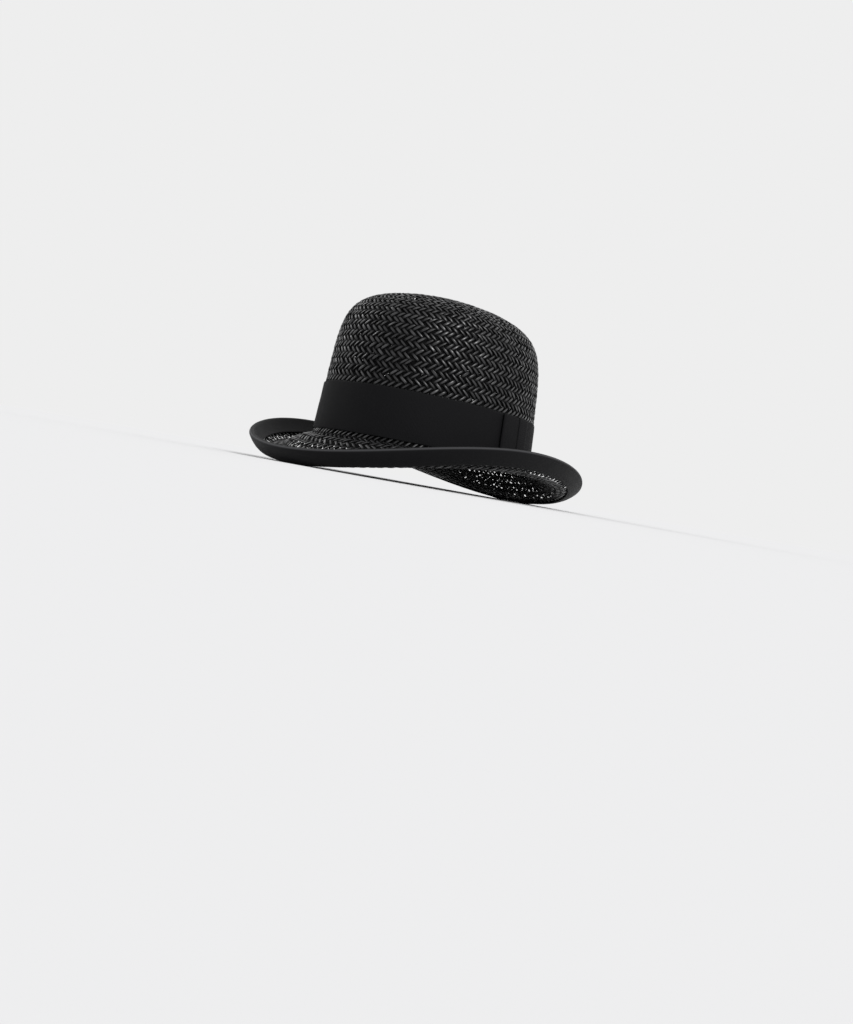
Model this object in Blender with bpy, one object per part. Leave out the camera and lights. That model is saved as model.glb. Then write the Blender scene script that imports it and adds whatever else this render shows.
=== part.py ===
"""Straw hat with a rounded crown, a curled brim, a ribbon band, a flat bow and a ribbon-bound edge.

The hat is shaped about the line where its crown meets its brim, at z = 0, with the front at -Y and the
wearer's left at +X. It is then tipped and lifted as a whole until it stands on the floor by itself, on
the dips of its brim at the front and the back.
"""

import math

import bpy
import numpy as np

# Crown: the inside fits the head, and the heights start where the crown meets the brim
HEAD_LENGTH = 0.203
HEAD_WIDTH = 0.169
STRAW_WALL = 0.0018
CROWN_HEIGHT = 0.130
CROWN_LEAN = 0.0029  # how far the top stands towards the front
TOP_DOME = 0.004  # extra rise in the middle of the top
OVAL_POWER = 2.1  # 2 is an ellipse
CROWN_TAPER = 0.08  # share by which the wall has drawn in at the top
SHOULDER_POWER = 8.0
TOP_POWER = 3.9
DOME_SPREAD = 0.8  # share of the oval that the dome covers

# Brim: reach and dip of the straw at its own edge
BRIM_REACH = 0.050
BRIM_DIP = 0.0195
BREAK_ROUND = 0.004  # length that is rounded on each side of the line between crown and brim
BRIM_SECTIONS = {
    "turn": (0.00, 0.25, 0.50, 0.75, 1.00),  # front, front quarter, side, back quarter, back
    "reach": (1.05, 0.95, 0.85, 0.94, 1.04),  # shares of BRIM_REACH
    "rise": (-1.00, -0.05, 0.72, 0.03, -0.88),  # shares of BRIM_DIP
    "leave": (-0.17, 0.20, 0.53, 0.08, -0.33),  # slope where it leaves the crown
    "curl": (1.45, 1.90, 2.20, 1.30, 0.57),  # slope at its edge
}

# Ribbon
RIBBON = 0.0010  # thickness
CLEARANCE = 0.0003  # between pieces that touch on the hat
BAND_WIDTH = 0.0403
BINDING_WIDTH = 0.0130  # of each leaf, measured from the brim's edge
REST_FLAT = 0.00055  # depth to which the binding presses flat where the hat stands on it

# Bow: a flattened loop of ribbon, drawn in at its middle by the knot
BOW_START = math.radians(87)  # turn of its front end, from the front towards the wearer's left
BOW_LENGTH = 0.060
BOW_MARGIN = 0.0015  # of band that shows below the loop
BOW_THICKNESS = 0.0022
KNOT_LENGTH = 0.016
BOW_SECTIONS = {
    "along": (0.00, 0.02, 0.08, 0.20, 0.34, 0.50, 0.66, 0.80, 0.92, 0.98, 1.00),  # shares of BOW_LENGTH
    "thick": (0.50, 0.80, 0.95, 1.00, 0.84, 0.70, 0.84, 1.00, 0.95, 0.80, 0.50),  # of BOW_THICKNESS
}

# Finish of each piece: its name, colour and roughness
FINISHES = {
    "straw_body": ("straw", (0.022, 0.022, 0.024), 0.42),
    "hat_band": ("band_ribbon", (0.010, 0.010, 0.011), 0.70),
    "bow_loop": ("bow_ribbon", (0.011, 0.011, 0.012), 0.70),
    "bow_knot": ("knot_ribbon", (0.011, 0.011, 0.012), 0.70),
    "brim_binding": ("binding_ribbon", (0.011, 0.011, 0.012), 0.65),
}

# Facets
COLUMNS = 64
CROWDING = 0.3  # share by which columns close up at the front and the back, where the oval turns most
BINDING_ROWS = (0.0, 0.33, 0.67, 0.95, 1.0)  # shares of the binding's width, from the edge
BRIM_STEPS = 5
BREAK_STEPS = 3
BAND_STEPS = 2
TOP_STEPS = 10
FOLD_STEPS = 3
BOW_STEPS = 24
KNOT_STEPS = 6
ARC_SAMPLES = 120


def cosine_series(rows, turn):
    """Smooth even curve round the hat through equally spaced rows from the front to the back."""
    order = np.arange(len(rows))
    at_rows = math.pi * order / (len(rows) - 1)
    weights = np.linalg.solve(np.cos(np.outer(at_rows, order)), np.array(rows))
    return np.cos(turn[..., None] * order) @ weights


def half_sizes():
    """Half the length and half the width of the crown's outer face at the brim."""
    return HEAD_LENGTH / 2 + STRAW_WALL, HEAD_WIDTH / 2 + STRAW_WALL


def oval(turn):
    """Points (x, y) of the crown's outer face at the brim: |x / half width|^p + |y / half length|^p = 1."""
    half_length, half_width = half_sizes()
    across = np.sin(turn)
    along = -np.cos(turn)
    stretch = (np.abs(across) ** OVAL_POWER + np.abs(along) ** OVAL_POWER) ** (-1 / OVAL_POWER)
    return np.stack([half_width * across * stretch, half_length * along * stretch], -1)


def outward(turn):
    """Unit direction (x, y) straight out from the oval."""
    half_length, half_width = half_sizes()
    out = oval(turn) / np.array([half_width**2, half_length**2])
    return out / np.linalg.norm(out, axis=-1, keepdims=True)


def brim_point(turn, share):
    """Point of the brim's upper face, where share goes from 0 at the crown to 1 at the straw's edge.

    The height is the cubic that has the section's rise and its two end slopes.
    """
    reach = BRIM_REACH * cosine_series(BRIM_SECTIONS["reach"], turn)
    rise = BRIM_DIP * cosine_series(BRIM_SECTIONS["rise"], turn)
    leave = reach * cosine_series(BRIM_SECTIONS["leave"], turn)
    curl = reach * cosine_series(BRIM_SECTIONS["curl"], turn)
    height = (
        rise * share**2 * (3 - 2 * share)
        + leave * share * (1 - share) ** 2
        + curl * share**2 * (share - 1)
    )
    flat = oval(turn) + outward(turn) * (reach * share)[..., None]
    return np.concatenate([flat, height[..., None]], -1)


def crown_point(turn, share):
    """Point of the crown's outer face, where share goes from 0 at the brim to 1 at the top.

    The oval shrinks by the taper, and by (1 - share^m)^(1/n) over the shoulder. A low dome fills the top.
    """
    spread = (1 - CROWN_TAPER * share) * (1 - share**SHOULDER_POWER) ** (1 / TOP_POWER)
    flat = oval(turn) * spread[..., None]
    flat[..., 1] -= CROWN_LEAN * share**2
    dome = TOP_DOME * np.clip(1 - (spread / DOME_SPREAD) ** 2, 0, 1) ** 2
    return np.concatenate([flat, (CROWN_HEIGHT * share + dome)[..., None]], -1)


def binding_share(turn):
    """Share of the brim at which the binding's inner edge lies, BINDING_WIDTH in from the straw's edge."""
    shares = np.linspace(1, 0, ARC_SAMPLES)
    line = brim_point(turn[None, :], shares[:, None] * np.ones_like(turn)[None, :])
    steps = np.linalg.norm(np.diff(line, axis=0), axis=-1)
    walked = np.vstack([np.zeros_like(turn), np.cumsum(steps, axis=0)])
    return np.array([np.interp(BINDING_WIDTH, walked[:, k], shares) for k in range(len(turn))])


def top_shares():
    """Heights from the band's top edge to the crown's top, closer together over the shoulder."""
    band_top = (BREAK_ROUND + BAND_WIDTH) / CROWN_HEIGHT
    first = math.asin(band_top ** (SHOULDER_POWER / 2))
    angles = np.linspace(first, math.pi / 2, TOP_STEPS + 1)
    return np.sin(angles) ** (2 / SHOULDER_POWER)


def hat_skin(turn):
    """Outer face of the straw as rows of points, from the brim's edge to just below the crown's top.

    Returns the rows, how many of them the binding covers, and the slice of them that the band covers.
    """
    everywhere = np.ones_like(turn)
    inner = binding_share(turn)
    start = BREAK_ROUND / (BRIM_REACH * cosine_series(BRIM_SECTIONS["reach"], turn))
    rows = [brim_point(turn, 1 + (inner - 1) * k) for k in BINDING_ROWS]
    bound = len(rows)
    rows += [brim_point(turn, inner + (start - inner) * k) for k in np.linspace(0, 1, BRIM_STEPS + 1)[1:]]

    corner = crown_point(turn, 0 * everywhere)
    above = crown_point(turn, BREAK_ROUND / CROWN_HEIGHT * everywhere)
    below = rows[-1]
    for k in np.linspace(0, 1, BREAK_STEPS + 1)[1:]:
        rows.append((1 - k) ** 2 * below + 2 * k * (1 - k) * corner + k**2 * above)

    band_start = len(rows) - 1
    for k in np.linspace(0, 1, BAND_STEPS + 1)[1:]:
        rows.append(crown_point(turn, (BREAK_ROUND + k * BAND_WIDTH) / CROWN_HEIGHT * everywhere))
    band_end = len(rows)
    rows += [crown_point(turn, share * everywhere) for share in top_shares()[1:-1]]
    return np.array(rows), bound, slice(band_start, band_end)


def unit(vectors):
    return vectors / np.linalg.norm(vectors, axis=-1, keepdims=True)


def skin_normals(skin):
    """Directions straight out of the skin, from its slopes along the rows and round the hat."""
    inwards = np.gradient(skin, axis=0)
    around = np.roll(skin, -1, axis=1) - np.roll(skin, 1, axis=1)
    return unit(np.cross(around, inwards))


def ring_faces(points, columns):
    """Quads of a ring: column k holds points k * points to (k + 1) * points - 1 of its closed section."""
    faces = []
    for column in range(columns):
        near = column * points
        far = (column + 1) % columns * points
        for k in range(points):
            after = (k + 1) % points
            faces.append((near + k, far + k, far + after, near + after))
    return faces


def ring_piece(section):
    """Vertices and faces of a ring from its sections, [point, column]."""
    points, columns = section.shape[:2]
    return section.transpose(1, 0, 2).reshape(-1, 3), ring_faces(points, columns)


def straw_body(skin, normals):
    """Crown and brim as one hollow wall, closed at the top by a point on each face."""
    inside = skin - STRAW_WALL * normals
    columns = skin.shape[1]
    rows = np.concatenate([skin[::-1], inside])
    top = crown_point(np.zeros(1), np.ones(1))[0]
    under_top = top - [0, 0, STRAW_WALL]
    vertices = np.vstack([rows.reshape(-1, 3), top, under_top])
    outer_pole = len(vertices) - 2
    inner_pole = len(vertices) - 1
    last = (len(rows) - 1) * columns
    faces = []
    for column in range(columns):
        after = (column + 1) % columns
        faces.append((outer_pole, column, after))
        faces.append((inner_pole, last + after, last + column))
        for row in range(0, last, columns):
            faces.append((row + column, row + columns + column, row + columns + after, row + after))
    return vertices, faces


def hat_band(skin, normals, covered):
    """Ribbon round the foot of the crown."""
    inner = skin[covered] + CLEARANCE * normals[covered]
    outer = inner + RIBBON * normals[covered]
    return ring_piece(np.concatenate([outer, inner[::-1]]))


def brim_binding(skin, normals, bound):
    """Ribbon folded over the brim's edge: an upper leaf, a round fold and a lower leaf."""
    middle = skin[0] - STRAW_WALL / 2 * normals[0]
    past_edge = unit(skin[0] - skin[1])
    past_edge = unit(past_edge - np.sum(past_edge * normals[0], -1, keepdims=True) * normals[0])
    turns = np.linspace(0, math.pi, FOLD_STEPS + 2)[1:-1]

    def leaf(depth):
        """Path at this depth from the straw: out under the brim, round the fold and in over the brim."""
        below = skin[:bound] - (STRAW_WALL + depth) * normals[:bound]
        above = skin[:bound] + depth * normals[:bound]
        radius = STRAW_WALL / 2 + depth
        fold = [middle + radius * (math.sin(a) * past_edge - math.cos(a) * normals[0]) for a in turns]
        return np.concatenate([below[::-1], np.array(fold), above])

    return ring_piece(np.concatenate([leaf(CLEARANCE)[::-1], leaf(CLEARANCE + RIBBON)]))


def arc_turns(lengths):
    """Turns at these distances along the oval from the bow's front end."""
    turns = np.linspace(BOW_START, BOW_START + math.pi / 2, ARC_SAMPLES)
    line = oval(turns)
    walked = np.append(0, np.cumsum(np.linalg.norm(np.diff(line, axis=0), axis=-1)))
    return np.interp(lengths, walked, turns)


def off_the_wall(turn, height, depth):
    """Points this far out from the crown's outer face, at this height."""
    wall = crown_point(turn, height / CROWN_HEIGHT * np.ones_like(turn))
    wall[:, :2] += outward(turn) * np.reshape(depth, (-1, 1))
    return wall


def bar_piece(section):
    """Vertices and faces of a bar from its sections, [point, station], closed by a face at each end."""
    points, stations = section.shape[:2]
    faces = [face for face in ring_faces(points, stations) if max(face) - min(face) < 2 * points]
    faces.append(tuple(range(points)))
    faces.append(tuple(range((stations - 1) * points, stations * points))[::-1])
    return section.transpose(1, 0, 2).reshape(-1, 3), faces


def bow_depth(along):
    """How far the loop's outer face stands off the crown at this share of the bow's length."""
    thick = np.interp(along, BOW_SECTIONS["along"], BOW_SECTIONS["thick"])
    return bow_seat() + BOW_THICKNESS * thick


def bow_seat():
    """How far the loop's inner face stands off the crown: outside the band, and clear of it."""
    return 2 * CLEARANCE + RIBBON


def bow_heights():
    """Bottom and top of the loop: its top is level with the band's."""
    return BREAK_ROUND + BOW_MARGIN, BREAK_ROUND + BAND_WIDTH


def bow_loop():
    """Flattened loop of ribbon that lies on the band."""
    along = np.union1d(np.linspace(0, 1, BOW_STEPS + 1), BOW_SECTIONS["along"])
    turn = arc_turns(along * BOW_LENGTH)
    bottom, top = bow_heights()
    seat = bow_seat() * np.ones_like(turn)
    front = bow_depth(along)
    corners = ((bottom, seat), (bottom, front), (top, front), (top, seat))
    return bar_piece(np.array([off_the_wall(turn, height, depth) for height, depth in corners]))


def bow_knot():
    """Ribbon wrapped over the middle of the loop, with a lip over its top and its bottom."""
    half = KNOT_LENGTH / BOW_LENGTH / 2
    along = np.linspace(0.5 - half, 0.5 + half, KNOT_STEPS + 1)
    turn = arc_turns(along * BOW_LENGTH)
    bottom, top = bow_heights()
    seat = bow_seat() * np.ones_like(turn)
    inner = bow_depth(along) + CLEARANCE
    outer = inner + RIBBON
    lip = CLEARANCE + RIBBON
    corners = (
        (bottom - CLEARANCE, seat),
        (bottom - lip, seat),
        (bottom - lip, outer),
        (top + lip, outer),
        (top + lip, seat),
        (top + CLEARANCE, seat),
        (top + CLEARANCE, inner),
        (bottom - CLEARANCE, inner),
    )
    return bar_piece(np.array([off_the_wall(turn, height, depth) for height, depth in corners]))


def tipped(points, angle):
    """Points turned about the X axis, so that a positive angle lifts the back."""
    c, s = math.cos(angle), math.sin(angle)
    return points @ np.array([[1, 0, 0], [0, c, s], [0, -s, c]])


def standing_pose(points):
    """Angle and shift that stand the hat on its front and back dips, centred over the origin."""
    angle = 0.0
    for _ in range(8):
        turned = tipped(points, angle)
        front = turned[turned[:, 1] < 0]
        back = turned[turned[:, 1] >= 0]
        front_low = front[front[:, 2].argmin()]
        back_low = back[back[:, 2].argmin()]
        angle += math.atan2(front_low[2] - back_low[2], back_low[1] - front_low[1])
    turned = tipped(points, angle)
    low, high = turned.min(axis=0), turned.max(axis=0)
    return angle, -np.array([(low[0] + high[0]) / 2, (low[1] + high[1]) / 2, low[2]])


def stand(points, angle, shift):
    """Points of a piece in the standing pose, pressed flat just where they meet the floor."""
    placed = tipped(points, angle) + shift
    placed[placed[:, 2] < REST_FLAT, 2] = 0
    return placed


def finish(name, color, roughness):
    """Plain material of one piece."""
    material = bpy.data.materials.new(name)
    material.use_nodes = True
    shader = material.node_tree.nodes["Principled BSDF"]
    shader.inputs["Base Color"].default_value = (*color, 1)
    shader.inputs["Roughness"].default_value = roughness
    shader.inputs["Metallic"].default_value = 0
    return material


def add_piece(name, vertices, faces, material):
    """Object with smooth shading from these vertices and faces."""
    mesh = bpy.data.meshes.new(name)
    mesh.from_pydata(vertices.tolist(), [], faces)
    mesh.validate()
    mesh.shade_smooth()
    mesh.set_sharp_from_angle(angle=math.radians(40))
    mesh.materials.append(material)
    piece = bpy.data.objects.new(name, mesh)
    bpy.context.scene.collection.objects.link(piece)


def column_turns():
    """Turns of the columns of facets, from the front towards the wearer's left."""
    even = np.linspace(0, 2 * math.pi, COLUMNS, endpoint=False)
    return even - CROWDING / 2 * np.sin(2 * even)


def clear_scene():
    for existing in list(bpy.data.objects):
        bpy.data.objects.remove(existing)


def main():
    clear_scene()
    turn = column_turns()
    skin, bound, covered = hat_skin(turn)
    normals = skin_normals(skin)
    pieces = {
        "straw_body": straw_body(skin, normals),
        "hat_band": hat_band(skin, normals, covered),
        "bow_loop": bow_loop(),
        "bow_knot": bow_knot(),
        "brim_binding": brim_binding(skin, normals, bound),
    }
    angle, shift = standing_pose(np.vstack([vertices for vertices, _ in pieces.values()]))
    for name, (vertices, faces) in pieces.items():
        add_piece(name, stand(vertices, angle, shift), faces, finish(*FINISHES[name]))


main()
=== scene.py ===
import math

import bpy
import numpy as np
from mathutils import Matrix, Vector


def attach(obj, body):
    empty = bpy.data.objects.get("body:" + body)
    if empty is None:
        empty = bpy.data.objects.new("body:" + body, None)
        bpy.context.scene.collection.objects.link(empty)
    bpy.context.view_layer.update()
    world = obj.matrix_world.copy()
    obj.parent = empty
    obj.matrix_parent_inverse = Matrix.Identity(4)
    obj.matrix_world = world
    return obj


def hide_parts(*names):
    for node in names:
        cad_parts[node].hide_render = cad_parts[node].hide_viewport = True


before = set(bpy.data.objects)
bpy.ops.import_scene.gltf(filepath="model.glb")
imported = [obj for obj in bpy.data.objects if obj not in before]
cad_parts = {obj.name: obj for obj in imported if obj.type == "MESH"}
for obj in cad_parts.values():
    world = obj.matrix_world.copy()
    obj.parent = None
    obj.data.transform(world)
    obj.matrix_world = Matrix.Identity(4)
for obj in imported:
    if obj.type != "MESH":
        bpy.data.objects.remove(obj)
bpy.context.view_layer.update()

chance = np.random.default_rng(11)

# The hat's measure in metres: heights start where crown and brim meet, the front is at -Y and the bow at +X
hat = {
    "headLength": 0.203,  # inside the crown
    "headWidth": 0.169,
    "wall": 0.0018,
    "crownHeight": 0.130,
    "lean": 0.0029,  # how far the top stands towards the front
    "dome": 0.004,  # extra rise in the middle of the top
    "domeSpread": 0.8,
    "ovalPower": 2.1,
    "taper": 0.08,
    "shoulderPower": 8.0,
    "topPower": 3.9,
    "brimReach": 0.050,
    "brimDip": 0.0195,
    "bend": 0.004,  # length that is rounded on each side of the line between crown and brim
    "reach": (1.05, 0.95, 0.85, 0.94, 1.04),  # these four go from the front to the back in equal turns
    "rise": (-1.00, -0.05, 0.72, 0.03, -0.88),
    "leave": (-0.17, 0.20, 0.53, 0.08, -0.33),
    "curl": (1.45, 1.90, 2.20, 1.30, 0.57),
    "clearance": 0.0003,  # between a ribbon and what it folds over
    "tip": -0.026253963,  # how the hat stands on the two dips of its brim
    "stand": (0.0, 0.000989315, 0.026647079),
}
halfWidth = hat["headWidth"] / 2 + hat["wall"]  # of the crown's outer face at the brim
halfLength = hat["headLength"] / 2 + hat["wall"]
bendShare = hat["bend"] / hat["crownHeight"]


def evenCurve(rows, turn):  # even cosine series through rows at equal turns, front to back
    order = np.arange(len(rows))
    atRows = math.pi * order / (len(rows) - 1)
    weights = np.linalg.solve(np.cos(np.outer(atRows, order)), np.array(rows))
    return np.cos(turn[..., None] * order) @ weights


def ovalAt(turn):  # |x / half width|^p + |y / half length|^p = 1
    across = np.sin(turn)
    along = -np.cos(turn)
    power = hat["ovalPower"]
    stretch = (np.abs(across) ** power + np.abs(along) ** power) ** (-1 / power)
    return np.stack([halfWidth * across * stretch, halfLength * along * stretch], -1)


def unit(vectors):
    return vectors / np.linalg.norm(vectors, axis=-1, keepdims=True)


def outAt(turn):  # straight out from the oval, level
    return unit(ovalAt(turn) / np.array([halfWidth**2, halfLength**2]))


fineTurns = np.linspace(0, 2 * math.pi, 4001)
fineWalk = np.append(0, np.cumsum(np.linalg.norm(np.diff(ovalAt(fineTurns), axis=0), axis=-1)))
girth = fineWalk[-1]


def turnAt(lap):  # lap goes from 0 to 1 once round the crown, in even steps of its girth
    return np.interp(lap % 1 * girth, fineWalk, fineTurns)


def reachAt(turn):  # how far the brim reaches out
    return hat["brimReach"] * evenCurve(hat["reach"], turn)


# The oval shrinks by the taper and by (1 - share^m)^(1/n), and a low dome fills the top
def crownAt(turn, share):
    closing = np.clip(1 - share ** hat["shoulderPower"], 0, 1) ** (1 / hat["topPower"])
    spread = (1 - hat["taper"] * share) * closing
    flat = ovalAt(turn) * spread[..., None]
    flat[..., 1] -= hat["lean"] * share**2
    dome = hat["dome"] * np.clip(1 - (spread / hat["domeSpread"]) ** 2, 0, 1) ** 2
    return np.concatenate([flat, (hat["crownHeight"] * share + dome)[..., None]], -1)


def brimAt(turn, reach, share):  # cubic in share with the section's rise and its two end slopes
    rise = hat["brimDip"] * evenCurve(hat["rise"], turn)
    leave = reach * evenCurve(hat["leave"], turn)
    curl = reach * evenCurve(hat["curl"], turn)
    height = (
        rise * share**2 * (3 - 2 * share)
        + leave * share * (1 - share) ** 2
        + curl * share**2 * (share - 1)
    )
    flat = ovalAt(turn) + outAt(turn) * (reach * share)[..., None]
    return np.concatenate([flat, height[..., None]], -1)


# Outer face of the straw: up is -1 at the brim's edge, 0 to 1 round the bend and 2 at the top
def strawAt(lap, up):
    turn = turnAt(lap)
    reach = reachAt(turn)
    start = hat["bend"] / reach
    brim = brimAt(turn, reach, start + (1 - start) * np.clip(-up, 0, 1))
    crown = crownAt(turn, 1 - (1 - bendShare) * (2 - np.clip(up, 1, 2)) ** hat["topPower"])
    corner = crownAt(turn, 0 * up)
    k = np.clip(up, 0, 1)[..., None]
    return (1 - k) ** 2 * brim + 2 * k * (1 - k) * corner + k**2 * crown


def skinAt(lap, up):  # the straw's outer face and the direction straight out of it
    around = strawAt(lap + 1e-4, up) - strawAt(lap - 1e-4, up)
    rising = strawAt(lap, np.minimum(up + 1e-3, 2)) - strawAt(lap, np.maximum(up - 1e-3, -1))
    return strawAt(lap, up), unit(np.cross(around, rising))


def upAt(height):  # the value of up at this height on the crown's wall
    return 2 - ((1 - height / hat["crownHeight"]) / (1 - bendShare)) ** (1 / hat["topPower"])


def standUp(points):  # turned about X by the tip and lifted, as the frame stands
    c, s = math.cos(hat["tip"]), math.sin(hat["tip"])
    return points @ np.array([[1, 0, 0], [0, c, s], [0, -s, c]]) + np.array(hat["stand"])


# A closed mesh that faces out, with a uv map and named values at its points
def addMesh(name, vertices, quads, maps, **marks):
    a, b, c, d = (vertices[quads[:, k]] for k in range(4))
    volume = np.einsum("ij,ij->", a, np.cross(b, c) + np.cross(c, d)) / 6
    if volume < 0:
        quads, maps = quads[:, ::-1], maps[:, ::-1]
    mesh = bpy.data.meshes.new(name)
    mesh.vertices.add(len(vertices))
    mesh.vertices.foreach_set("co", vertices.astype(np.float32).ravel())
    mesh.loops.add(quads.size)
    mesh.loops.foreach_set("vertex_index", quads.astype(np.int32).ravel())
    mesh.polygons.add(len(quads))
    mesh.polygons.foreach_set("loop_start", np.arange(0, quads.size, 4, dtype=np.int32))
    mesh.polygons.foreach_set("loop_total", np.full(len(quads), 4, np.int32))
    mesh.polygons.foreach_set("use_smooth", np.ones(len(quads), bool))
    mesh.uv_layers.new(name="along").data.foreach_set("uv", maps.astype(np.float32).ravel())
    for mark, values in marks.items():
        attribute = mesh.attributes.new(mark, "FLOAT", "POINT")
        attribute.data.foreach_set("value", values.astype(np.float32).ravel())
    mesh.update(calc_edges=True)
    mesh.validate()
    piece = bpy.data.objects.new(name, mesh)
    bpy.context.scene.collection.objects.link(piece)
    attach(piece, "root")
    print(f"{name}: {2 * len(quads)} triangles")
    return piece


# Quads of a tube, [station, corner], with two flat ends unless it closes into a ring
def tubeQuads(stations, around, closed):
    station = np.arange(stations if closed else stations - 1)[:, None] * around
    corner = np.arange(around)[None, :]
    after = (station + around) % (stations * around)
    turned = (corner + 1) % around
    sides = np.stack([station + corner, station + turned, after + turned, after + corner], -1).reshape(-1, 4)
    if closed:
        return sides
    k = np.arange(around // 2 - 1)
    cap = np.stack([k, around - 1 - k, around - 2 - k, k + 1], -1)
    return np.concatenate([sides, cap, cap[:, ::-1] + (stations - 1) * around])


# The uv of each quad's corners, unbroken at the seams
def cornerMaps(quads, stations, around, lengths, widths, closed):
    station = quads // around
    corner = quads % around
    lastRow = (station.max(1) == stations - 1) & (station.min(1) == 0) & closed
    lastColumn = (corner.max(1) == around - 1) & (corner.min(1) == 0)
    station = np.where(lastRow[:, None] & (station == 0), stations, station)
    corner = np.where(lastColumn[:, None] & (corner == 0), around, corner)
    return np.stack([lengths[station], widths[corner]], -1)


# Straw: two families of strands wind up the hat and cross two over, two under
strand = {
    "slant": math.radians(39.5),  # from the level
    "width": 0.00235,
    "thick": 0.00080,
    "lift": 0.00046,  # half the distance between an upper and a lower strand
    "corners": 6,
    "steps": (-0.38, 0.02, 0.5, 0.98, 1.38),  # one float, in crossings
    "arch": (0.36, 1.0, 1.14, 1.0, 0.36),
    "swell": (0.94, 1.0, 1.05, 1.0, 0.94),
    "wander": 0.075,  # of the distance between strands
    "uneven": 0.11,  # share by which floats differ in height and in width
    "tilt": 0.13,  # radians by which floats roll about their own length
    "closest": 0.66,  # widest a strand may be, of the distance between strands
    "under": (1.42, 1.70),  # how much wider it lies where it is below: near the brim's edge, and elsewhere
    "opens": (-0.68, -0.48),  # where on the brim the one turns into the other
    "pointed": 0.35,  # how much is left of a strand at its two ends
    "crest": 1.55,  # how soon the painted shade lifts to the floats' full colour up the side of a strand
    "tone": 0.5,
    "strandTone": 0.16,  # how much the tone differs from strand to strand, and from float to float
    "floatTone": 0.24,
    "shift": 0.37,  # each strand's paper starts this much further along
}
windTable = {"rows": 2400, "columns": 73, "highest": 1.985}  # the last is just short of the top's middle


def windUp():  # how many laps a strand has made where it reaches each up, and the hat's mean radius there
    levels = np.linspace(-1, windTable["highest"], windTable["rows"])
    laps = np.linspace(0, 1, windTable["columns"])
    grid = strawAt(*np.broadcast_arrays(laps[None, :], levels[:, None]))
    radius = np.linalg.norm(np.diff(grid, axis=1), axis=-1).sum(1) / (2 * math.pi)
    stride = np.linalg.norm(np.diff(grid, axis=0), axis=-1).mean(1)
    middle = (radius[1:] + radius[:-1]) / 2
    wound = np.cumsum(stride / (middle * math.tan(strand["slant"]))) / (2 * math.pi)
    return levels, radius, np.append(0, wound)


ups, radii, winds = windUp()


# Centre lines of one family, the way out of the hat along them, and how high their points lie in the weave:
# at a crossing strand k is at lap (k + lean * crossing / 2) / strands, and as far up as it has wound by then
def strandNet(zone, lean, uneven):
    number = np.arange(zone["floats"])[:, None]
    crossing = (2 * number + np.array(strand["steps"])).ravel()
    lift = ((-1) ** (number + zone["phase"]) * lean * np.array(strand["arch"])).ravel()
    up = np.interp(zone["start"] + crossing / (2 * zone["strands"]), winds, ups)
    lap = np.arange(zone["strands"])[:, None] + lean * crossing / 2 + uneven(strand["wander"])
    place, out = skinAt(lap / zone["strands"], np.broadcast_to(up, lap.shape))
    reach = strand["lift"] * lift * (1 + uneven(strand["uneven"])) - hat["wall"] / 2
    return place + out * reach[..., None], out, up, lift


# Every strand of one family, as a closed tube whose corners lie round its centre line on a tilted ellipse
def strandFamily(zone, lean):
    count = zone["strands"]
    corners = strand["corners"]

    def uneven(amount):  # one draw for each float of each strand
        return np.repeat(chance.normal(0, amount, (count, zone["floats"])), len(strand["steps"]), axis=1)

    centre, out, up, lift = strandNet(zone, lean, uneven)
    ahead = unit(np.gradient(centre, axis=1))
    side = unit(np.cross(out, ahead))
    top = np.cross(ahead, side)
    under = np.interp(up, strand["opens"], strand["under"])
    swell = np.where(lift > 0, np.tile(strand["swell"], zone["floats"]), under)
    spacing = 2 * math.pi * np.interp(up, ups, radii) / count * math.sin(strand["slant"])
    width = np.minimum(zone["width"], strand["closest"] * spacing) * swell * (1 + uneven(strand["uneven"]))
    ends = np.ones(len(up))
    ends[[0, -1]] = strand["pointed"]
    turn = np.arange(corners) * 2 * math.pi / corners
    across = np.cos(turn) * (width * ends / 2)[..., None]
    through = np.sin(turn) * (strand["thick"] * ends / 2)[None, :, None]
    tilt = np.where(lift > 0, uneven(strand["tilt"]), 0)[..., None]
    sideways = across * np.cos(tilt) - through * np.sin(tilt)
    outwards = across * np.sin(tilt) + through * np.cos(tilt)
    ring = centre[:, :, None] + side[:, :, None] * sideways[..., None]
    ring = ring + top[:, :, None] * outwards[..., None]

    one = tubeQuads(len(up), corners, False)
    first = np.arange(count) * len(up) * corners
    quads = one[None] + first[:, None, None]
    lengths = np.append(0, np.cumsum(np.linalg.norm(np.diff(centre[0], axis=0), axis=-1)))
    maps = cornerMaps(one, len(up), corners, lengths, np.arange(corners + 1) / corners, False)
    maps = np.repeat(maps[None], count, 0)
    maps[..., 0] += (np.arange(count) * strand["shift"])[:, None, None]
    tone = strand["tone"] + chance.normal(0, strand["strandTone"], (count, 1)) + uneven(strand["floatTone"])
    tone = np.repeat(np.clip(tone, 0, 1)[..., None], corners, 2)
    crest = np.clip(strand["crest"] * lift[:, None] * np.sin(turn), 0, 1)  # 1 on the floats, 0 in the gaps: the colour it gives is painted shade in the gaps and down the strands' sides
    crest = np.broadcast_to(crest, tone.shape)
    points = standUp(ring.reshape(-1, 3))
    return points, quads.reshape(-1, 4), maps.reshape(-1, 4, 2), tone.ravel(), crest.ravel()


def windAtHeight(height):
    return np.interp(upAt(height), ups, winds)


def windAtRadius(radius):  # on the upper half of the table, where the radius falls all the way
    half = len(ups) // 2
    return np.interp(-radius, -radii[half:], winds[half:])


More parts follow.
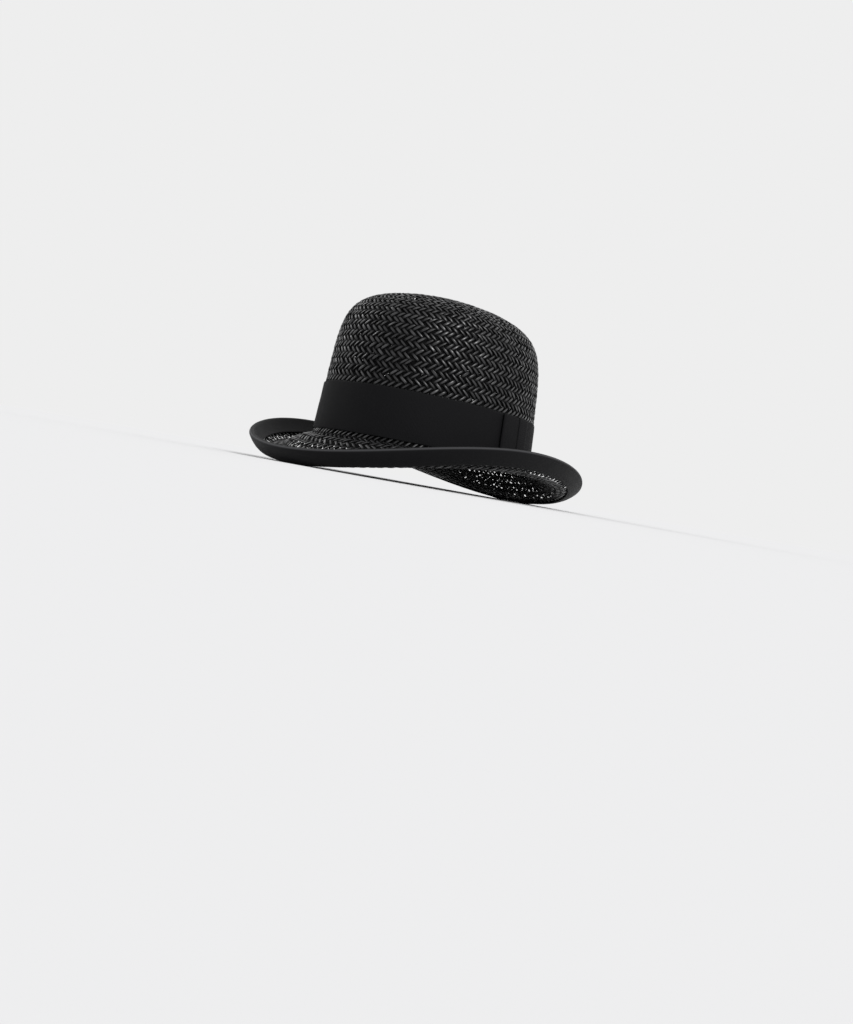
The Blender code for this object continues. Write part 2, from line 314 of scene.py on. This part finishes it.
# Zones of the weave: brim, crown, and rings on the top that have fewer and fewer strands
weave = {
    "brimStrands": 118,  # of each family
    "brimWidth": 0.00275,
    "brimStart": 0.004,  # in laps from the edge
    "brimEnd": 0.030,  # brim's and crown's weaves meet at these heights, behind the band
    "crownStart": 0.026,
    "crownStrands": 98,
    "crownEnd": 0.070,  # radius
    "topStrands": (72, 52, 38, 28, 20, 14, 10),
    "topEdges": (0.0715, 0.0545, 0.0400, 0.0290, 0.0210, 0.0150, 0.0105, 0.0065),  # radii
}


def weaveZone(strands, start, end, width, phase=0):  # whole floats between two winds
    floats = max(1, round((end - start) * strands))
    return {"strands": strands, "start": start, "floats": floats, "width": width, "phase": phase}


def topZones():
    rings = zip(weave["topStrands"], weave["topEdges"], weave["topEdges"][1:])
    return [
        weaveZone(strands, windAtRadius(outer), windAtRadius(inner), strand["width"], k % 2)
        for k, (strands, outer, inner) in enumerate(rings)
    ]


def joined(parts):  # the zones of one family as one mesh
    offset = 0
    shifted = []
    for vertices, quads, *_ in parts:
        shifted.append(quads + offset)
        offset += len(vertices)
    vertices, _, maps, tones, crests = (np.concatenate(values) for values in zip(*parts))
    return vertices, np.concatenate(shifted), maps, tones, crests


brimZone = weaveZone(
    weave["brimStrands"], weave["brimStart"], windAtHeight(weave["brimEnd"]), weave["brimWidth"]
)
crownZone = weaveZone(
    weave["crownStrands"], windAtHeight(weave["crownStart"]), windAtRadius(weave["crownEnd"]), strand["width"]
)
strawPieces = []
for label, zones in (("brim", [brimZone]), ("crown", [crownZone]), ("top", topZones())):
    for hand, lean in (("rising", 1), ("falling", -1)):
        *shape, tones, crests = joined([strandFamily(zone, lean) for zone in zones])
        strawPieces.append(addMesh(f"{label}_straw_{hand}", *shape, tone=tones, crest=crests))

# Rosette: a disc with eight swirled petals closes the middle of the top
button = {
    "radius": 0.0085,
    "thick": 0.0012,
    "petals": 8,
    "swirl": 0.9,
    "relief": 0.0003,
    "scallop": 0.04,
    "sunk": 0.35,  # of the straw's wall
    "columns": 96,
    "across": (0.02, 0.25, 0.5, 0.75, 0.92, 1.0, 0.97, 0.6, 0.02),  # out on the upper side, back on the lower
    "side": (1, 1, 1, 1, 0.7, 0, -0.7, -1, -1),
    "mapStep": 0.0005,
}


def rosette():  # height of a petal is |sin(half the petals * (turn + swirl * radius))|
    columns, rows = button["columns"], len(button["across"])
    turns = np.linspace(0, 2 * math.pi, columns, endpoint=False)[:, None]
    across = np.array(button["across"])
    side = np.array(button["side"])
    petal = np.abs(np.sin(button["petals"] / 2 * (turns + button["swirl"] * across)))
    height = side * (button["thick"] / 2 + button["relief"] * (petal - 0.5) * (side > 0))
    radius = button["radius"] * across * (1 + button["scallop"] * petal)
    top = crownAt(np.zeros(1), np.ones(1))[0]
    points = np.stack([radius * np.cos(turns), radius * np.sin(turns), height], -1)
    points = points + top - [0, 0, hat["wall"] * button["sunk"]]
    quads = tubeQuads(columns, rows, True)
    lengths = np.arange(columns + 1) * button["mapStep"]
    maps = cornerMaps(quads, columns, rows, lengths, np.arange(rows + 1) / rows, True)
    return standUp(points.reshape(-1, 3)), quads, maps, petal


*shape, petals = rosette()
# The petals' pattern also darkens the colour in the troughs between the petals: painted shade
strawPieces.append(addMesh("top_rosette", *shape, tone=0 * petals + strand["tone"], crest=petals))
print("straw woven")

# Grosgrain ribbon: across its outer face and back, with edges a little thinner than its middle
edge = {
    "across": (0, 0.003, 0.010, 0.03, 0.12, 0.3, 0.5, 0.7, 0.88, 0.97, 0.990, 0.997, 1),
    "puff": (0, 0.65, 0.92, 1, 1, 1, 1, 1, 1, 1, 0.92, 0.65, 0),
}
ribbonShares = np.concatenate([edge["across"], edge["across"][-2:0:-1]])
ribbonDepth = 0.5 + np.concatenate([edge["puff"], np.negative(edge["puff"][-2:0:-1])]) / 2


def waves(lap, counts, amount, seed):  # smooth unevenness round the hat: a sum of sines with drawn phases
    draw = np.random.default_rng(seed)
    total = 0
    for count in counts:
        total = total + np.sin(2 * math.pi * (count * lap + draw.random())) / len(counts)
    return amount * total


band = {
    "width": 0.0403,
    "flatLength": 0.600,
    "thick": 0.0007,
    "columns": 720,
    "sway": 0.00035,  # how far its edges wander, counted from a line near its foot
    "swayWaves": (3, 5, 8),
    "still": 0.2,  # share of its width at which that line lies
    "ease": 0.00012,  # how loosely it lies
    "easeWaves": (7, 11, 16),
    "skew": 0.3,
    "seeds": (3, 4),
}


def ribbonBand():  # a strip of the straw's face, set off by the ribbon's own depth and by slow waves
    laps = np.arange(band["columns"]) / band["columns"]
    lap, share = np.broadcast_arrays(laps[:, None], ribbonShares[None, :])
    sway = waves(lap, band["swayWaves"], band["sway"], band["seeds"][0]) * (share - band["still"])
    place, out = skinAt(lap, upAt(hat["bend"] + band["width"] * share + sway))
    ease = waves(lap + band["skew"] * share, band["easeWaves"], band["ease"], band["seeds"][1])
    points = place + out * (band["thick"] * ribbonDepth + 2 * band["ease"] + ease)[..., None]
    around = len(ribbonShares)
    quads = tubeQuads(band["columns"], around, True)
    lengths = np.arange(band["columns"] + 1) * girth / band["columns"]
    widths = np.append(ribbonShares, ribbonShares[0]) * band["width"]
    maps = cornerMaps(quads, band["columns"], around, lengths, widths, True)
    return standUp(points.reshape(-1, 3)), quads, maps


bandPiece = addMesh("ribbon_band", *ribbonBand())

# Binding: one ribbon folded over the brim's edge. Its two leaves are the straw's faces, set off by its depth
# and by quick waves, and half a circle round the edge joins them
binding = {
    "width": 0.0130,
    "flat": (0.0300, 0.940),
    "thick": 0.0010,
    "columns": 900,
    "leaf": (0, 0.06, 0.16, 0.33, 0.55, 0.80, 0.93, 0.975, 1.0),  # from the brim's edge to the leaf's end
    "thin": (1, 1, 1, 1, 1, 1, 0.97, 0.75, 0.0),
    "foldSteps": 9,
    "sway": 0.0005,
    "swayWaves": (4, 7, 11),
    "swaySeed": 5,
    "pucker": 0.00012,
    "puckerWaves": (90, 143, 211),
    "puckerSeed": 8,
    "press": 0.00055,  # how deep it is pressed flat where it meets the floor
    "samples": 160,
    "inside": 0.02,  # step from the edge by which its direction is found
}


def bindingInner(turn, reach, width):  # share of the brim at which the binding's leaf ends
    steps = binding["samples"] - 1
    shares = np.linspace(1, 0, binding["samples"])
    line = brimAt(*np.broadcast_arrays(turn[None, :], reach[None, :], shares[:, None]))
    walked = np.vstack([0 * turn, np.cumsum(np.linalg.norm(np.diff(line, axis=0), axis=-1), axis=0)])
    past = np.argmax(walked >= width, axis=0)
    beyond = walked[past, np.arange(len(turn))] - width
    return 1 - past / steps + beyond / (walked[1] * steps)


def brimBinding():
    columns = binding["columns"]
    laps = np.arange(columns) / columns
    turn = turnAt(laps)
    reach = reachAt(turn)
    start = hat["bend"] / reach
    leaf = np.array(binding["leaf"])
    thin = np.array(binding["thin"])

    def leafPoints(side, layer):  # one leaf at this layer of the ribbon: 1 is its outer face, 0 its inner
        sway = waves(laps, binding["swayWaves"], binding["sway"], binding["swaySeed"] + side)
        share = 1 + (bindingInner(turn, reach, binding["width"] + sway) - 1) * leaf[:, None]
        up = -(share - start) / (1 - start)
        place, out = skinAt(np.broadcast_to(laps, up.shape), up)
        pucker = waves(laps, binding["puckerWaves"], binding["pucker"], binding["puckerSeed"] + side)
        depth = hat["clearance"] + binding["thick"] * (0.5 + (layer - 0.5) * thin)[:, None]
        depth = depth + np.abs(pucker) * leaf[:, None] ** 2
        away = depth if side > 0 else -(depth + hat["wall"])
        return place + out * away[..., None]

    edgeUp = np.full(columns, -1.0)
    place, out = skinAt(laps, edgeUp)
    past = unit(place - strawAt(laps, edgeUp + binding["inside"]))
    past = unit(past - np.sum(past * out, -1, keepdims=True) * out)
    middle = place - hat["wall"] / 2 * out
    turns = np.linspace(0, math.pi, binding["foldSteps"] + 1)[1:-1][:, None, None]

    def fold(layer):  # half a circle round the brim's edge
        radius = hat["wall"] / 2 + hat["clearance"] + binding["thick"] * layer
        return middle + radius * (np.sin(turns) * past - np.cos(turns) * out)

    outer = np.concatenate([leafPoints(-1, 1)[::-1], fold(1), leafPoints(1, 1)])
    inner = np.concatenate([leafPoints(1, 0)[-2:0:-1], fold(0)[::-1], leafPoints(-1, 0)[1:-1]])
    points = standUp(np.concatenate([outer, inner]).transpose(1, 0, 2).reshape(-1, 3))
    press = binding["press"]
    low = points[:, 2]
    points[:, 2] = np.where(low < 2 * press, np.maximum(0, 2 * (low - press)), low)
    around = len(outer) + len(inner)
    quads = tubeQuads(columns, around, True)
    lengths = np.arange(columns + 1) * binding["flat"][1] / columns
    path = np.append(0, np.cumsum(np.linalg.norm(np.diff(outer, axis=0), axis=-1).mean(1)))
    path = path - path[-1] / 2  # 0 on the fold
    widths = np.concatenate([path, np.linspace(path[-1], path[0], len(inner) + 1)])
    return points, quads, cornerMaps(quads, columns, around, lengths, widths, True)


bindingPiece = addMesh("binding_ribbon", *brimBinding())

# Bow: a flattened loop of the band's ribbon on the wearer's left
bow = {
    "start": math.radians(87),
    "length": 0.060,
    "flat": (0.0388, 0.122),
    "margin": 0.0015,  # of band that shows below it
    "seat": 0.00112,  # from the crown, just clear of the band
    "thick": 0.0021,
    "ribbon": 0.0007,
    "along": (0.00, 0.05, 0.20, 0.34, 0.44, 0.50, 0.56, 0.66, 0.80, 0.95, 1.00),
    "swell": (1.25, 1.20, 1.06, 0.98, 0.90, 0.88, 0.90, 0.92, 0.88, 0.66, 0.60),
    "fold": 0.0020,  # length of the round turn at each end
    "stations": 150,
    "pinch": 0.0009,  # how much narrower it is under the knot, and how far from it
    "pinchReach": 0.012,
    "crease": 0.00008,  # depth of the folds that run out of the knot, how many, and how far they run
    "creases": 3.5,
    "creaseStart": 0.6,
    "creaseReach": 0.011,
}
bowLap = np.interp(bow["start"], fineTurns, fineWalk) / girth
bowBottom = hat["bend"] + bow["margin"]
bowTop = hat["bend"] + band["width"]


def offWall(lap, height, depth):  # this far out from the crown's face at this height
    turn = turnAt(lap)
    place = crownAt(turn, height / hat["crownHeight"])
    place[..., :2] += outAt(turn) * depth[..., None]
    return place


def bowFace(along):  # how far the loop's outer face stands off the crown
    return bow["seat"] + bow["thick"] * np.interp(along, bow["along"], bow["swell"])


def bowLine():  # where along the bow each station lies, and the loop's line seen from above, (length, depth)
    half = bow["stations"] // 2
    ease = (1 - np.cos(np.linspace(0, math.pi, half, endpoint=False))) / 2
    along = np.concatenate([ease, 1 - ease])
    inFold = np.minimum(along, 1 - along) * bow["length"] / bow["fold"]
    close = np.sqrt(np.clip(1 - (1 - np.clip(inFold, 0, 1)) ** 2, 0, 1))
    outerFace = bowFace(along)
    reach = (outerFace - bow["seat"]) / 2 * close
    front = np.arange(bow["stations"]) < half
    depth = (bow["seat"] + outerFace) / 2 + np.where(front, reach, -reach)
    return along, front, np.stack([along * bow["length"], depth], -1)


def bowLoop():  # the line and a second one inside it, each drawn up the crown's wall from bottom to top
    along, front, line = bowLine()
    ahead = unit(np.roll(line, -1, axis=0) - np.roll(line, 1, axis=0))
    inward = np.stack([ahead[:, 1], -ahead[:, 0]], -1)  # towards the middle of the loop
    path = line[:, None] + inward[:, None] * (bow["ribbon"] * (1 - ribbonDepth))[None, :, None]
    toKnot = np.abs(along - 0.5)[:, None] * bow["length"]
    pinch = bow["pinch"] * np.exp(-((toKnot / bow["pinchReach"]) ** 2))
    height = bowBottom + pinch + (bowTop - bowBottom - 2 * pinch) * ribbonShares
    folds = bow["crease"] * np.cos(2 * math.pi * bow["creases"] * ribbonShares + bow["creaseStart"])
    folds = folds * np.exp(-((toKnot / bow["creaseReach"]) ** 2)) * front[:, None]
    points = offWall(bowLap + path[..., 0] / girth, height, path[..., 1] + folds)
    stations, around = points.shape[:2]
    quads = tubeQuads(stations, around, True)
    walked = np.append(0, np.cumsum(np.linalg.norm(np.roll(line, -1, axis=0) - line, axis=-1)))
    widths = np.append(ribbonShares, ribbonShares[0]) * (bowTop - bowBottom)
    return standUp(points.reshape(-1, 3)), quads, cornerMaps(quads, stations, around, walked, widths, True)


bowPiece = addMesh("bow_ribbon", *bowLoop())

# Knot: a narrow ribbon wrapped over the middle of the bow
knot = {
    "length": 0.016,  # along the bow
    "flat": (0.0160, 0.046),
    "thick": 0.00045,
    "across": (0, 0.006, 0.02, 0.06, 0.2, 0.35, 0.5, 0.65, 0.8, 0.94, 0.98, 0.994, 1),
    "puff": (0.1, 0.35, 0.65, 0.9, 1, 1, 1, 1, 1, 0.9, 0.65, 0.35, 0.1),
    "lift": 0.0001,  # off the bow's face
    "ripple": 0.00004,
    "ripples": 2.5,
    "corner": 0.0016,
    "cornerPoints": 6,
    "facePoints": 11,
    "face": 0.94,  # share of the height between the corners over which those are spread
    "mapWidth": 0.050,  # of its uv map, round the bow
}


def bowKnot():  # stations along the bow, each a C round the loop with rounded corners
    half = knot["length"] / bow["length"] / 2
    across = np.array(knot["across"])
    puff = np.array(knot["puff"])
    along = 0.5 - half + 2 * half * across
    face = bowFace(along) + knot["lift"] + knot["ripple"] * np.cos(2 * math.pi * knot["ripples"] * across)
    halfHeight = (bowTop - bowBottom) / 2 + hat["clearance"]
    bends = np.linspace(0, math.pi / 2, knot["cornerPoints"])
    flats = np.linspace(knot["face"], -knot["face"], knot["facePoints"])

    def wrap(layer):  # (depth, height) from the seat at the top, down the face, to the seat at the bottom
        grow = knot["thick"] * layer * puff[:, None]
        out = face[:, None] - bow["seat"] + grow
        high = halfHeight + grow
        seat = np.stack([0 * high, high], -1)
        bendDepth = out - knot["corner"] * (1 - np.sin(bends))
        bendHeight = high - knot["corner"] * (1 - np.cos(bends))
        upper = np.concatenate([seat, np.stack([bendDepth, bendHeight], -1)], 1)
        flatDepth, flatHeight = np.broadcast_arrays(out, flats * (high - knot["corner"]))
        flat = np.stack([flatDepth, flatHeight], -1)
        return np.concatenate([upper, flat, upper[:, ::-1] * [1, -1]], 1)

    section = np.concatenate([wrap(1), wrap(0)[:, ::-1]], 1)
    stations, around = section.shape[:2]
    lap = bowLap + np.broadcast_to(along[:, None] * bow["length"] / girth, (stations, around))
    points = offWall(lap, (bowTop + bowBottom) / 2 + section[..., 1], bow["seat"] + section[..., 0])
    quads = tubeQuads(stations, around, False)
    path = np.linspace(0, knot["mapWidth"], around // 2)
    widths = np.concatenate([path, path[::-1], path[:1]])
    maps = cornerMaps(quads, stations, around, along * bow["length"], widths, False)
    return standUp(points.reshape(-1, 3)), quads, maps[..., ::-1]  # its length runs up and over the bow


knotPiece = addMesh("knot_ribbon", *bowKnot())
print("ribbons folded")

black = (0, 0, 0, 1)


def socketed(name, inputs, outputs):  # an empty node group: a vector, numbers and colours go in
    group = bpy.data.node_groups.new(name, "ShaderNodeTree")
    for socket, value in inputs.items():
        kind = {type(None): "Vector", float: "Float", tuple: "Color"}[type(value)]
        made = group.interface.new_socket(socket, in_out="INPUT", socket_type=f"NodeSocket{kind}")
        if value is not None:
            made.default_value = value
    for socket in outputs:
        kind = "Color" if socket == "Colour" else "Float"
        group.interface.new_socket(socket, in_out="OUTPUT", socket_type=f"NodeSocket{kind}")
    return group, group.nodes.new("NodeGroupInput").outputs, group.nodes.new("NodeGroupOutput").inputs


def plug(tree, socket, value):  # links the socket to another one, or sets it
    if hasattr(value, "is_linked"):
        tree.links.new(value, socket)
    else:
        socket.default_value = value


def wire(tree, kind, inputs=(), **settings):  # one node, its inputs linked or set, and its own settings
    node = tree.nodes.new(kind)
    for key, value in settings.items():
        setattr(node, key, value)
    for socket, value in dict(inputs).items():
        plug(tree, node.inputs[socket], value)
    return node


def mathNode(tree, operation, *values):
    return wire(tree, "ShaderNodeMath", dict(enumerate(values)), operation=operation).outputs[0]


def blendColour(tree, share, first, second):
    return wire(tree, "ShaderNodeMix", {0: share, 6: first, 7: second}, data_type="RGBA").outputs[2]


def stretchedNoise(tree, vector, stretch, turn, scale, detail):
    turned = wire(tree, "ShaderNodeMapping", {"Vector": vector, "Scale": stretch, "Rotation": (0, 0, turn)})
    noise = {"Vector": turned.outputs[0], "Scale": scale, "Detail": detail}
    return wire(tree, "ShaderNodeTexNoise", noise).outputs[0]


# Paper straw: creases along the strand, a twist in its relief, a tone of its own for each float, and painted
# shade that darkens the colour towards Dark in the gaps and down the strands' sides
paper = {
    "crease": ((420, 9, 1), 0, 1.0, 4.0),  # stretch, turn, scale and detail of the noise
    "twist": ((900, 3, 1), 0.02, 0.35, 2.0),
    "creaseShade": 0.45,
    "toneShade": 0.6,
    "creaseRough": 0.16,
    "toneRough": -0.10,
    "hiddenRough": 0.30,
    "twistHeight": 0.5,
    "toneLacquer": 0.8,
    "leastLacquer": 0.50,
    "lacquerPower": 2.0,
}


def paperGrain():
    group, given, result = socketed(
        "paper grain",
        {"Vector": None, "Tone": 0.5, "Crest": 1.0, "Dark": black, "Light": black, "Rough": 0.4},
        ("Colour", "Roughness", "Height", "Lacquer"),
    )
    crease = stretchedNoise(group, given["Vector"], *paper["crease"])
    twist = stretchedNoise(group, given["Vector"], *paper["twist"])
    shade = mathNode(group, "MULTIPLY", given["Tone"], paper["toneShade"])
    shade = mathNode(group, "MULTIPLY_ADD", crease, paper["creaseShade"], shade)
    # Painted shade: the mark multiplied in here pulls the colour down to Dark in the gaps and on the strands'
    # sides
    shade = mathNode(group, "MULTIPLY", mathNode(group, "MINIMUM", shade, 1.0), given["Crest"])
    rough = mathNode(group, "MULTIPLY_ADD", crease, paper["creaseRough"], given["Rough"])
    rough = mathNode(group, "MULTIPLY_ADD", given["Tone"], paper["toneRough"], rough)
    hidden = mathNode(group, "SUBTRACT", 1.0, given["Crest"])
    rough = mathNode(group, "MULTIPLY_ADD", hidden, paper["hiddenRough"], rough)
    lacquer = mathNode(group, "MULTIPLY_ADD", given["Tone"], paper["toneLacquer"], paper["leastLacquer"])
    shine = mathNode(group, "POWER", given["Crest"], paper["lacquerPower"])
    plug(group, result["Colour"], blendColour(group, shade, given["Dark"], given["Light"]))
    plug(group, result["Roughness"], rough)
    plug(group, result["Height"], mathNode(group, "MULTIPLY_ADD", twist, paper["twistHeight"], crease))
    plug(group, result["Lacquer"], mathNode(group, "MULTIPLY", lacquer, shine))
    return group


# Grosgrain: round ribs across the ribbon, their grooves painted darker as painted shade, the thread wound
# over them, and a painted highlight in a line along v = 0
grosgrain = {
    "jitter": ((350, 60, 1), 0, 1.0, 2.0),  # stretch, turn, scale and detail of the noise
    "jitterPhase": 0.35,
    "ribPower": 0.6,
    "threads": 14000.0,
    "threadSlant": 5000.0,
    "threadHeight": 0.07,
    "jitterShade": 0.5,
    "ribShade": 0.6,
    "jitterRough": 0.12,
}


def grosgrainRibs():
    group, given, result = socketed(
        "grosgrain ribs",
        {"Vector": None, "Ribs": 1000.0, "Groove": black, "Ridge": black, "Highlight": black, "HighlightWidth": 0.001,
         "Rough": 0.7},
        ("Colour", "Roughness", "Height"),
    )
    along, over, _ = wire(group, "ShaderNodeSeparateXYZ", {0: given["Vector"]}).outputs
    jitter = stretchedNoise(group, given["Vector"], *grosgrain["jitter"])
    phase = mathNode(group, "MULTIPLY", along, given["Ribs"])
    phase = mathNode(group, "MULTIPLY_ADD", jitter, grosgrain["jitterPhase"], phase)
    rib = mathNode(group, "ABSOLUTE", mathNode(group, "SINE", mathNode(group, "MULTIPLY", phase, math.pi)))
    rib = mathNode(group, "POWER", rib, grosgrain["ribPower"])
    thread = mathNode(group, "MULTIPLY", over, grosgrain["threads"])
    thread = mathNode(group, "SINE", mathNode(group, "MULTIPLY_ADD", along, grosgrain["threadSlant"], thread))
    # Painted shade: the colour is darker in the grooves between the ribs, where the bump's height is low
    shade = mathNode(group, "MULTIPLY", rib, grosgrain["ribShade"])
    shade = mathNode(group, "MULTIPLY_ADD", jitter, grosgrain["jitterShade"], shade)
    colour = blendColour(group, mathNode(group, "MINIMUM", shade, 1.0), given["Groove"], given["Ridge"])
    # Painted highlight: a lighter colour within the given width of v = 0
    fromFold = mathNode(group, "DIVIDE", mathNode(group, "ABSOLUTE", over), given["HighlightWidth"])
    highlight = mathNode(group, "MAXIMUM", mathNode(group, "SUBTRACT", 1.0, fromFold), 0.0)
    plug(group, result["Colour"], blendColour(group, highlight, colour, given["Highlight"]))
    rough = mathNode(group, "MULTIPLY_ADD", jitter, grosgrain["jitterRough"], given["Rough"])
    plug(group, result["Roughness"], rough)
    plug(group, result["Height"], mathNode(group, "MULTIPLY_ADD", thread, grosgrain["threadHeight"], rib))
    return group


grain = paperGrain()
ribs = grosgrainRibs()


# A material whose group reads the piece's own uv map and, by the marks' names, the values at its points
def surfaced(name, group, values, relief, depth, gloss, marks=(), coatRough=None):
    made = bpy.data.materials.new(name)
    made.use_nodes = True
    tree = made.node_tree
    shader = tree.nodes["Principled BSDF"].inputs
    effect = wire(tree, "ShaderNodeGroup", node_tree=group)
    plug(tree, effect.inputs["Vector"], wire(tree, "ShaderNodeUVMap", uv_map="along").outputs[0])
    for socket, value in values.items():
        plug(tree, effect.inputs[socket], value)
    for mark in marks:
        own = wire(tree, "ShaderNodeAttribute", attribute_name=mark)
        plug(tree, effect.inputs[mark.capitalize()], own.outputs["Fac"])
    height = effect.outputs["Height"]
    bump = wire(tree, "ShaderNodeBump", {"Height": height, "Strength": relief, "Distance": depth})
    plug(tree, shader["Base Color"], effect.outputs["Colour"])
    plug(tree, shader["Roughness"], effect.outputs["Roughness"])
    plug(tree, shader["Normal"], bump.outputs[0])
    plug(tree, shader["Specular IOR Level"], gloss)
    if coatRough is not None:
        plug(tree, shader["Coat Weight"], effect.outputs["Lacquer"])
        plug(tree, shader["Coat Roughness"], coatRough)
    return made


# Dark is the colour of the painted shade in the gaps and of the darkest floats; Light is the floats' full
# colour
strawFinish = surfaced(
    "black paper straw", grain,
    {"Dark": (0.0018, 0.0018, 0.0020, 1), "Light": (0.022, 0.022, 0.0235, 1), "Rough": 0.45},
    relief=0.5, depth=0.00025, gloss=0.06, marks=("tone", "crest"), coatRough=0.33,
)
# Its lightest colour paints a thin highlight along the lower edge of the band and of the bow, where v is 0;
# the knot's map never reaches it
ribbonFinish = surfaced(
    "black grosgrain", ribs,
    {"Ribs": 950.0, "Groove": (0.0009, 0.0009, 0.0011, 1), "Ridge": (0.0048, 0.0048, 0.0056, 1),
     "Highlight": (0.012, 0.012, 0.013, 1), "HighlightWidth": 0.0006, "Rough": 0.66},
    relief=0.7, depth=0.00012, gloss=0.10,
)
# Its lightest colour paints a highlight along the fold, where v is 0: painted highlight
bindingFinish = surfaced(
    "black binding", ribs,
    {"Ribs": 1100.0, "Groove": (0.0012, 0.0012, 0.0015, 1), "Ridge": (0.0045, 0.0045, 0.0052, 1),
     "Highlight": (0.045, 0.045, 0.048, 1), "HighlightWidth": 0.0013, "Rough": 0.48},
    relief=0.5, depth=0.0001, gloss=0.10,
)

for piece in strawPieces:
    piece.data.materials.append(strawFinish)
    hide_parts("straw_body")
for piece, node, slot, finish in (
    (bandPiece, "hat_band", "band_ribbon", ribbonFinish),
    (bindingPiece, "brim_binding", "binding_ribbon", bindingFinish),
    (bowPiece, "bow_loop", "bow_ribbon", ribbonFinish),
    (knotPiece, "bow_knot", "knot_ribbon", ribbonFinish),
):
    piece.data.materials.append(finish)
    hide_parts(node)

print("finishes given")

# Stage: a wide pale floor that meets a background as bright as itself
stage = {"reach": 60.0, "corners": 128, "colour": (0.656, 0.656, 0.661, 1), "rough": 0.9, "background": 0.855}


def paleFloor():  # points evenly spaced round one flat circle
    turn = np.linspace(0, 2 * math.pi, stage["corners"], endpoint=False)
    points = stage["reach"] * np.stack([np.cos(turn), np.sin(turn), 0 * turn], -1)
    mesh = bpy.data.meshes.new("floor")
    mesh.from_pydata(points.tolist(), [], [list(range(stage["corners"]))])
    floor = bpy.data.objects.new("floor", mesh)
    bpy.context.scene.collection.objects.link(floor)
    made = bpy.data.materials.new("pale floor")
    made.use_nodes = True
    shader = made.node_tree.nodes["Principled BSDF"].inputs
    shader["Base Color"].default_value = stage["colour"]
    shader["Roughness"].default_value = stage["rough"]
    shader["Specular IOR Level"].default_value = 0
    mesh.materials.append(made)


paleFloor()

lights = (  # name, the direction that it shines from, how many degrees wide it is, watts per square metre
    ("key", (5.80, -1.00, 4.40), 12, 2.0),
    ("side", (-4.00, -1.00, 2.60), 19, 0.40),
)
for name, direction, wide, strength in lights:
    lamp = bpy.data.lights.new(name, "SUN")
    lamp.angle = math.radians(wide)
    lamp.energy = strength
    holder = bpy.data.objects.new(name, lamp)
    place = Vector(direction)
    holder.matrix_world = Matrix.LocRotScale(place, place.to_track_quat("Z", "Y"), None)
    bpy.context.scene.collection.objects.link(holder)

world = bpy.data.worlds.new("soft white")
world.use_nodes = True
world.node_tree.nodes["Background"].inputs["Color"].default_value = (1, 1, 1, 1)
world.node_tree.nodes["Background"].inputs["Strength"].default_value = stage["background"]
bpy.context.scene.world = world
bpy.context.scene.view_settings.view_transform = "Standard"

camera = {
    "azimuth": math.radians(42),
    "away": 0.94,
    "height": 0.006,
    "aim": (0.0, 0.0, 0.0766),
    "picture": (853, 1024),  # pixels
    "pixel": (431, 399),  # where the aim shows in the picture
    "roll": math.radians(10.1),
    "lens": 37.5,
    "sensor": 36,
    "clip": (0.002, 200),  # the floor comes close under the lens
}


def placeCamera():  # tips and turns the rolled camera until the pixel's ray points at the aim
    away, azimuth = camera["away"], camera["azimuth"]
    place = Vector((math.sin(azimuth) * away, -math.cos(azimuth) * away, camera["height"]))
    wide, high = camera["picture"]
    focal = camera["lens"] / camera["sensor"] * high
    ray = Vector(((camera["pixel"][0] - wide / 2) / focal, (high / 2 - camera["pixel"][1]) / focal, -1))
    roll = Matrix.Rotation(camera["roll"], 3, "Z")
    ray = roll @ ray
    towards = (Vector(camera["aim"]) - place).normalized() * ray.length
    pitch = math.atan2(ray.y, ray.z) % (2 * math.pi) - math.acos(towards.z / math.hypot(ray.y, ray.z))
    tipped = Matrix.Rotation(pitch, 3, "X")
    turned = tipped @ ray
    yaw = math.atan2(towards.y, towards.x) - math.atan2(turned.y, turned.x)
    rotation = Matrix.Rotation(yaw, 3, "Z") @ tipped @ roll
    data = bpy.data.cameras.new("camera")
    data.lens = camera["lens"]
    data.sensor_width = camera["sensor"]
    data.clip_start, data.clip_end = camera["clip"]
    holder = bpy.data.objects.new("camera", data)
    holder.matrix_world = Matrix.Translation(place) @ rotation.to_4x4()
    bpy.context.scene.collection.objects.link(holder)
    bpy.context.scene.camera = holder


placeCamera()
print("stage, light and camera set")
